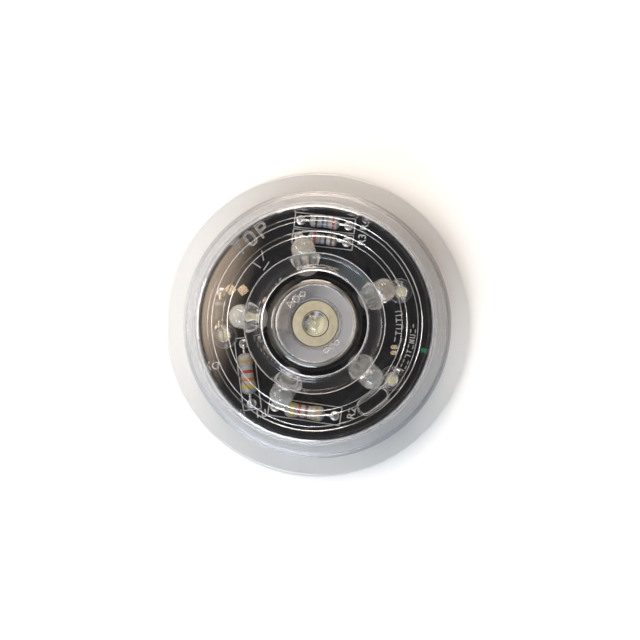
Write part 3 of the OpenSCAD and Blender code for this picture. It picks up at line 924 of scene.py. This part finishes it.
def make_legend():
    parts = []
    for part in RESISTORS:
        dx, dy = part.pitch / 2 + 1.3, part.d / 2 + 0.35
        loop = [(-dx, -dy), (dx, -dy), (dx, dy), (-dx, dy), (-dx, -dy)]
        frame_lines = strip(loop, LEGEND_LINE, INK_Z, INK_T)
        parts.append(placed(frame_lines, moved(part.x, part.y) @ turned(part.turn)))
    labels = (
        ("R1", -20.7, -7.9, 150),
        ("R2", -5.4, -19.5, 44),
        ("R3", 18.4, 8.4, 46),
        ("R4", 20.8, 10.6, 46),
        ("D1", -22.7, 6.3, 140),
    )
    for body, x, y, turn in labels:
        parts.append(legend_text(body, x, y, 1.7, turn))
    parts += small_print(20.4, -66, 3.1, 10, 1.15, 0.75, 3)
    parts += small_print(17.5, -48, 4.6, 5, 1.5, 1.0, 5)
    for x, y, turn in ((-1.1, 16.2, 20), (-2.6, 17.6, 110), (-0.4, 18.4, 65)):
        parts.append(placed(inked(stadium(2.2, LEGEND_LINE)), moved(x, y) @ turned(turn)))
    put("board_legend", merge(parts), INK, slot="board_laminate")
    put("board_spot", inked(circle(14.6, -17.9, 0.5, 32)), GREEN_INK, slot="board_laminate")
    place = moved(9.76, -14.21) @ turned(50)
    pads = [placed(inked(stadium(0.9, 1.5, x, 0)), place) for x in (-0.6, 0.6)]
    put("board_test_pads", merge(pads), GILT, slot="terminal_gilt")


def solder_fillet(height, foot, neck):
    """Half section of a hollow-sided cone of solder round a lead."""
    steps = 8
    side = []
    for k in range(steps + 1):
        t = k / steps
        side.append((neck + (foot - neck) * (1 - t) ** 2.2, height * t))
    return [(0, 0)] + side + [(0, height + 0.05)]


def make_solder():
    parts = []
    upside_down = Matrix.Scale(-1, 4, (0, 0, 1))
    for x, y in ALL_PINS:
        under = revolve(solder_fillet(0.8, 0.95, 0.42), 24, closed=False)
        parts.append(placed(under, moved(x, y, BOARD_Z) @ upside_down))
    for x, y in ROUND_PINS:
        upper = revolve(solder_fillet(0.55, 0.92, 0.36), 32, closed=False)
        parts.append(placed(upper, moved(x, y, BOARD_TOP + 0.03)))
    put("solder_fillets", merge(parts), SOLDER, "solder_joints", slot="solder")


# ---- Lamps ----


def led_section(d, h, flange_h, over):
    """Half section of a lamp body with a flange and a round top."""
    r = d / 2
    points = rounded([
        (0, 0, 0),
        (r + over, 0, 0.12),
        (r + over, flange_h, 0.15),
        (r, flange_h, 0.12),
        (r, h - r, 0),
    ])
    return points + arc((0, h - r), r, 0, 90, 16)[1:-1] + [(0, h)]


def tilted_matrix(angle_deg, tilt_deg):
    """Place of a tilted lamp: the middle of its foot, with its axis leaning outwards."""
    return turned(angle_deg) @ moved(LED_RING_R, 0, BOARD_TOP + SEAT_H) @ turned(tilt_deg, "Y")


def short_matrix(angle_deg, radius):
    """Place of a short lamp: the middle of its foot on the board."""
    return turned(angle_deg) @ moved(radius, 0, BOARD_TOP)


def lamp_body(name, node, section, matrix, satin):
    """A lamp body that is clear but for a satin band between two heights."""
    tiny = 1e-6
    slots = [1 if satin[0] - tiny <= z < satin[1] - tiny else 0 for _, z in section]
    bm = placed(revolve(section, 96, closed=False, slots=slots), matrix)
    put(name, bm, (LED_EPOXY, LED_SIDE), node, slot="led_epoxy")


def bond_wire(matrix, cup_z):
    """The fine wire from the plain post to the chip, in a low arch."""
    points = []
    for k in range(9):
        t = k / 8
        z = cup_z + 0.1 + 0.55 * math.sin(math.pi * t) + 0.45 * t
        points.append(matrix @ Vector((0, PIN_PITCH / 2 - 1.5 * t, z)))
    return tube(points, 0.03, 8)


def spacer(angle_deg, tilt_deg):
    """A tilted round spacer whose foot is cut flat on the board."""
    matrix = tilted_matrix(angle_deg, tilt_deg)
    axis = (matrix.to_3x3() @ Vector((0, 0, 1))).normalized()
    bm = bmesh.new()
    top_r = SPACER_R - SPACER_EDGE
    rings = [[], [], []]
    for c, s in spokes(72):
        rim = matrix @ Vector((SPACER_R * c, SPACER_R * s, -SPACER_EDGE))
        top = matrix @ Vector((top_r * c, top_r * s, 0))
        foot = rim - axis * ((rim.z - BOARD_TOP) / axis.z)
        for ring, point in zip(rings, (foot, rim, top)):
            ring.append(bm.verts.new(point))
    for a, b in zip(rings, rings[1:]):
        skin(bm, a, b)
    bm.faces.new(rings[0][::-1])
    # The top face takes the light cream, painted light.
    bm.faces.new(rings[-1]).material_index = 1
    return bm


def make_lamps():
    section = led_section(LED_D, LED_H, LED_FLANGE_H, FLANGE_OVER)
    short_section = led_section(SHORT_D, SHORT_H, SHORT_FLANGE_H, SHORT_FLANGE_OVER)
    place = moved(0, 0, BOARD_TOP)
    lamp_body("centre_lamp_body", "centre_led", section, place, LED_SATIN)
    wires = [bond_wire(place, CUP_Z)]
    for i, (angle, tilt) in enumerate(TILTED, 1):
        place = tilted_matrix(angle, tilt)
        lamp_body(f"tilted_lamp_body_{i}", f"tilted_led_{i}", section, place, LED_SATIN)
        put(f"tilted_lamp_spacer_{i}", spacer(angle, tilt), (SPACER_BLACK_AND_BORE_SHADE, LIT_SPACER_TOP),
            f"tilted_spacer_{i}", slot="spacer_nylon")
        wires.append(bond_wire(place, CUP_Z))
    for i, (angle, radius) in enumerate(SHORT, 1):
        place = short_matrix(angle, radius)
        lamp_body(f"short_lamp_body_{i}", f"short_led_{i}", short_section, place, SHORT_SATIN)
        wires.append(bond_wire(place, SHORT_CUP_Z))
    put("bond_wires", merge(wires), GILT, slot="terminal_gilt")

    wide, bore, step = LED_D / 2 + 0.5, LED_D / 2 + 0.1, BOARD_TOP + 1.2
    sleeve = rounded([
        (wide, BOARD_TOP, 0),
        (SLEEVE_R, BOARD_TOP, 0.1),
        (SLEEVE_R, SLEEVE_TOP, 0.35),
        (bore, SLEEVE_TOP, 0.15),
        (bore, step, 0.1),
        (wide, step, 0.1),
        (wide, BOARD_TOP, 0),
    ])[:-1]
    bm = revolve(sleeve, 120)
    # The bore wall takes the black: painted shade round the centre lamp.
    for face in bm.faces:
        middle = face.calc_center_median()
        face.material_index = 1 if math.hypot(middle.x, middle.y) < bore + 0.04 else 0
    put("centre_lamp_sleeve", bm, (SLEEVE_CREAM, SPACER_BLACK_AND_BORE_SHADE), "centre_led_sleeve", slot="spacer_nylon")


# ---- Axial parts ----


def axial_z(part):
    """Height of an axial part's axis."""
    return BOARD_TOP + part.d / 2 + 0.15


def axial_matrix(part):
    """Place of an axial part: the middle of its body, with its axis level."""
    return moved(part.x, part.y, axial_z(part)) @ turned(part.turn) @ turned(90, "Y")


def banded(part, section, bands, base, name, node, slot):
    """An axial body whose section is cut where its bands start and end: [(place, width, material), ...]."""
    edges = [place + side * width / 2 for place, width, _ in bands for side in SIDES]
    cuts = sorted({round(edge, 4) for edge in edges})
    points = []
    for a, b in zip(section, section[1:]):
        points.append(a)
        for cut in cuts:
            if a[1] < cut < b[1]:
                t = (cut - a[1]) / (b[1] - a[1])
                points.append((a[0] + (b[0] - a[0]) * t, cut))
    points.append(section[-1])
    materials = [base] + [material for _, _, material in bands]
    slots = []
    for a, b in zip(points, points[1:] + points[:1]):
        middle = (a[1] + b[1]) / 2
        index = 0
        for k, (place, width, _) in enumerate(bands, 1):
            if abs(middle - place) < width / 2 and b[1] > a[1]:
                index = k
        slots.append(index)
    bm = placed(revolve(points, 48, closed=False, slots=slots), axial_matrix(part))
    put(name, bm, materials, node, slot=slot)


def resistor_section(length, d):
    """Half section of a resistor body: a cap at each end and a slimmer middle."""
    half, r = length / 2, d / 2
    waist = r * 0.88
    return rounded([
        (0, -half, 0),
        (r * 0.5, -half, 0.15),
        (r, -half + 0.35 * r, 0.5 * r),
        (r, -half + 1.3 * r, 0.6 * r),
        (waist, -half + 1.75 * r, 0.6 * r),
        (waist, half - 1.75 * r, 0.6 * r),
        (r, half - 1.3 * r, 0.6 * r),
        (r, half - 0.35 * r, 0.5 * r),
        (r * 0.5, half, 0.15),
        (0, half, 0),
    ])


def lead_path(part, side):
    """A lead from the body's end, round its bend and down through the board."""
    reach = part.pitch / 2
    z = axial_z(part)
    flat = [(part.length / 2 - 0.05, z)]
    flat += arc((reach - LEAD_BEND_R, z - LEAD_BEND_R), LEAD_BEND_R, 90, 0, 8)
    flat.append((reach, TAIL_Z))
    turn = turned(part.turn)
    return [moved(part.x, part.y) @ turn @ Vector((side * along, 0, height)) for along, height in flat]


def both_leads(part):
    """The two leads of an axial part as one bmesh."""
    return merge([tube(lead_path(part, side), WIRE_R) for side in SIDES])


def make_axial():
    codes = (
        (("yellow", -0.62), ("orange", -0.28), ("red", 0.1), ("gold", 0.62)),
        (("yellow", -0.62), ("red", -0.26), ("brown", 0.1), ("gold", 0.6)),
        (("red", -0.55), ("grey", -0.15), ("black", 0.2), ("brown", 0.6)),
        (("black", -0.55), ("blue", -0.12), ("grey", 0.18), ("red", 0.6)),
    )
    for i, (part, code) in enumerate(zip(RESISTORS, codes), 1):
        half = part.length / 2
        width = part.length * 0.075
        bands = [(share * half, width, BANDS[colour]) for colour, share in code]
        section = resistor_section(part.length, part.d)
        banded(part, section, bands, LACQUER, f"resistor_body_{i}", f"resistor_{i}", "resistor_lacquer")
        put(f"resistor_wires_{i}", both_leads(part), LEAD_WIRE, f"resistor_leads_{i}", slot="lead_wire")

    half, r = DIODE.length / 2, DIODE.d / 2
    section = rounded([(0, -half, 0), (r, -half, 0.2), (r, half, 0.2), (0, half, 0)])
    mark = [(half * 0.6, 0.7, BANDS["grey"])]
    banded(DIODE, section, mark, DIODE_EPOXY, "diode_body", "diode", "diode_epoxy")
    put("diode_wires", both_leads(DIODE), GILT, "diode_leads", slot="lead_wire")


# ---- CAD pieces that stay as they are ----


def dress(node, material, bevel=0.0):
    """Gives a CAD node a finished material, and soft edges where asked."""
    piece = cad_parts[node]
    if not piece.material_slots:
        piece.data.materials.append(material)
    for holder in piece.material_slots:
        holder.link = "OBJECT"
        holder.material = material
    if bevel:
        soft = piece.modifiers.new("soft edges", "BEVEL")
        soft.width = bevel * MM
        soft.segments = 2
        soft.limit_method = "ANGLE"


def dress_cad():
    dress("potting", RESIN)
    dress("supply_terminals", GILT, 0.1)
    dress("led_chips", PHOSPHOR)
    dress("centre_led_frame", FRAME_STEEL)
    for i in range(1, len(TILTED) + 1):
        dress(f"tilted_frame_{i}", FRAME_STEEL)
    for i in range(1, len(SHORT) + 1):
        dress(f"short_frame_{i}", FRAME_STEEL)


# ---- Stage ----

VIEW_TURN = 37.0
VIEW_DISTANCE = 400.0
VIEW_TILT = 1.8
VIEW_TILT_TOWARDS = -63.0
VIEW_WIDTH = 137.0
VIEW_CENTRE = (1.02, 0.41, 1.5)
LIGHT = 1.25
ROOM = 0.16
ZENITH = 0.25
CORE = 0.05
TAN_GLOW = 3.4
LOW_GLOW = 1.0


def make_camera():
    data = bpy.data.cameras.new("camera")
    data.sensor_width = 36.0
    data.lens = data.sensor_width * VIEW_DISTANCE / VIEW_WIDTH
    data.clip_start = 0.01
    data.clip_end = 20.0
    camera = to_object("camera", data)
    tilt = math.radians(VIEW_TILT)
    away = Vector((*polar(VIEW_TILT_TOWARDS, math.sin(tilt)), math.cos(tilt)))
    up = Vector((*polar(90 - VIEW_TURN, 1), 0))
    right = up.cross(away).normalized()
    up = away.cross(right)
    turn = Matrix((right, up, away)).transposed().to_4x4()
    spot = Vector(VIEW_CENTRE) + away * VIEW_DISTANCE
    camera.matrix_world = Matrix.Translation(spot * MM) @ turn
    bpy.context.scene.camera = camera


def make_floor():
    bm = bmesh.new()
    bmesh.ops.create_grid(bm, x_segments=8, y_segments=8, size=3000)
    bm.transform(moved(0, 0, -0.02))
    paper = mottled("floor", grey(0.86), grey(0.88), (0.6, 0.7), grain=0.01, bump=0.0)
    to_object("floor", finish_mesh(bm, "floor"), paper)


def direction(azimuth, elevation):
    """Unit vector of a direction given as the picture shows it."""
    angle = math.radians(elevation)
    return Vector((*polar(azimuth - VIEW_TURN, math.cos(angle)), math.sin(angle)))


def softbox(name, azimuth, elevation, size, power, colour):
    """A large lamp facing the object, placed by its direction as seen in the picture."""
    distance = 1.2
    data = bpy.data.lights.new(name, "AREA")
    data.shape = "RECTANGLE"
    data.size, data.size_y = size
    data.energy = power
    data.color = colour
    lamp = to_object(name, data)
    away = direction(azimuth, elevation)
    lamp.location = away * distance
    lamp.rotation_euler = away.to_track_quat("Z", "Y").to_euler()


def make_world():
    """A dim room with soft glows. Each glow fades in between two cosines of the angle from its middle."""
    # Azimuth, elevation, cosine where it starts, cosine where it is full, strength, colour.
    glows = (
        (90, 10, 0.8, 1.0, 3.0, (1.0, 0.87, 0.74)),
        (246, 12, 0.65, 1.0, 2.0, (0.84, 0.93, 1.0)),
        (172, 10, 0.65, 1.0, 1.2, (1.0, 0.95, 0.9)),
        (215, 80.4, 0.9975, 0.9995, 0.9, (0.75, 0.92, 1.0)),
    )
    world = bpy.data.worlds.new("studio")
    bpy.context.scene.world = world
    world.use_nodes = True
    tree = world.node_tree
    tree.nodes.clear()

    add, link = tree.nodes.new, tree.links.new

    def scaled(source, strength, colour):
        """A colour of that strength, times a 0 to 1 source."""
        node = add("ShaderNodeVectorMath")
        node.operation = "SCALE"
        node.inputs[0].default_value = tuple(strength * c for c in colour)
        link(source, node.inputs["Scale"])
        return node.outputs["Vector"]

    def ramp(source, start, end):
        """A soft step from 0 at start to 1 at end."""
        node = add("ShaderNodeMapRange")
        node.interpolation_type = "SMOOTHSTEP"
        node.inputs["From Min"].default_value = start
        node.inputs["From Max"].default_value = end
        link(source, node.inputs["Value"])
        return node.outputs["Result"]

    def along(vector):
        """How far the direction looked at points along a vector."""
        node = add("ShaderNodeVectorMath")
        node.operation = "DOT_PRODUCT"
        link(tex.outputs["Generated"], node.inputs[0])
        node.inputs[1].default_value = vector
        return node.outputs["Value"]

    def pair(kind, operation, a, b):
        node = add(kind)
        node.operation = operation
        link(a, node.inputs[0])
        link(b, node.inputs[1])
        return node.outputs[0]

    def total(a, b):
        return pair("ShaderNodeVectorMath", "ADD", a, b)

    def times(a, b):
        return pair("ShaderNodeMath", "MULTIPLY", a, b)

    tex = add("ShaderNodeTexCoord")
    room = scaled(ramp(along((0, 0, 1)), 1.3, -0.3), ROOM, (1.0, 0.98, 1.03))
    for azimuth, elevation, start, end, strength, colour in glows:
        glow = ramp(along(direction(azimuth, elevation)), start, end)
        room = total(room, scaled(glow, strength, colour))

    # A weak glow overhead, with a small darker spot in it beside the zenith.
    above = ramp(along((0, 0, 1)), 0.92, 0.98)
    ring = times(above, ramp(along(direction(154, 88.2)), 0.99844, 0.9958))
    room = total(room, scaled(above, CORE, (1.0, 0.97, 1.0)))
    room = total(room, scaled(ring, ZENITH, (1.0, 0.95, 0.94)))

    # A narrow tan bar just left of the zenith, and a broad glow farther down at the left.
    side = along(direction(165, 0))
    across = along(direction(75, 0))
    band = times(ramp(side, 0.07, 0.094), ramp(side, 0.14, 0.105))
    near = times(ramp(across, -0.1, -0.07), ramp(across, 0.1, 0.07))
    room = total(room, scaled(times(band, near), TAN_GLOW, (1.0, 0.77, 0.56)))
    lower = times(ramp(side, 0.22, 0.32), ramp(along(direction(172, 50)), 0.75, 0.95))
    room = total(room, scaled(lower, LOW_GLOW, (1.0, 0.9, 0.8)))
    back = add("ShaderNodeBackground")
    back.inputs["Strength"].default_value = LIGHT
    link(room, back.inputs["Color"])
    link(back.outputs["Background"], add("ShaderNodeOutputWorld").inputs["Surface"])


def make_light():
    make_world()
    softbox("key_top", 90, 34, (0.7, 0.4), 8.0 * LIGHT, (1.0, 0.87, 0.74))
    softbox("fill_low_left", 248, 38, (0.7, 0.4), 8.2 * LIGHT, (0.85, 0.93, 1.0))
    softbox("fill_left", 172, 28, (0.5, 0.4), 4.3 * LIGHT, (1.0, 0.96, 0.92))
    bpy.context.scene.view_settings.view_transform = "Standard"
    cycles = bpy.context.scene.cycles
    cycles.max_bounces = 32
    cycles.transmission_bounces = 28
    cycles.transparent_max_bounces = 32
    cycles.glossy_bounces = 8
    cycles.diffuse_bounces = 4
    cycles.caustics_reflective = False
    cycles.caustics_refractive = False


make_camera()
make_floor()
make_light()
make_lens()
make_rear()
make_board()
make_legend()
make_solder()
make_lamps()
make_axial()
dress_cad()
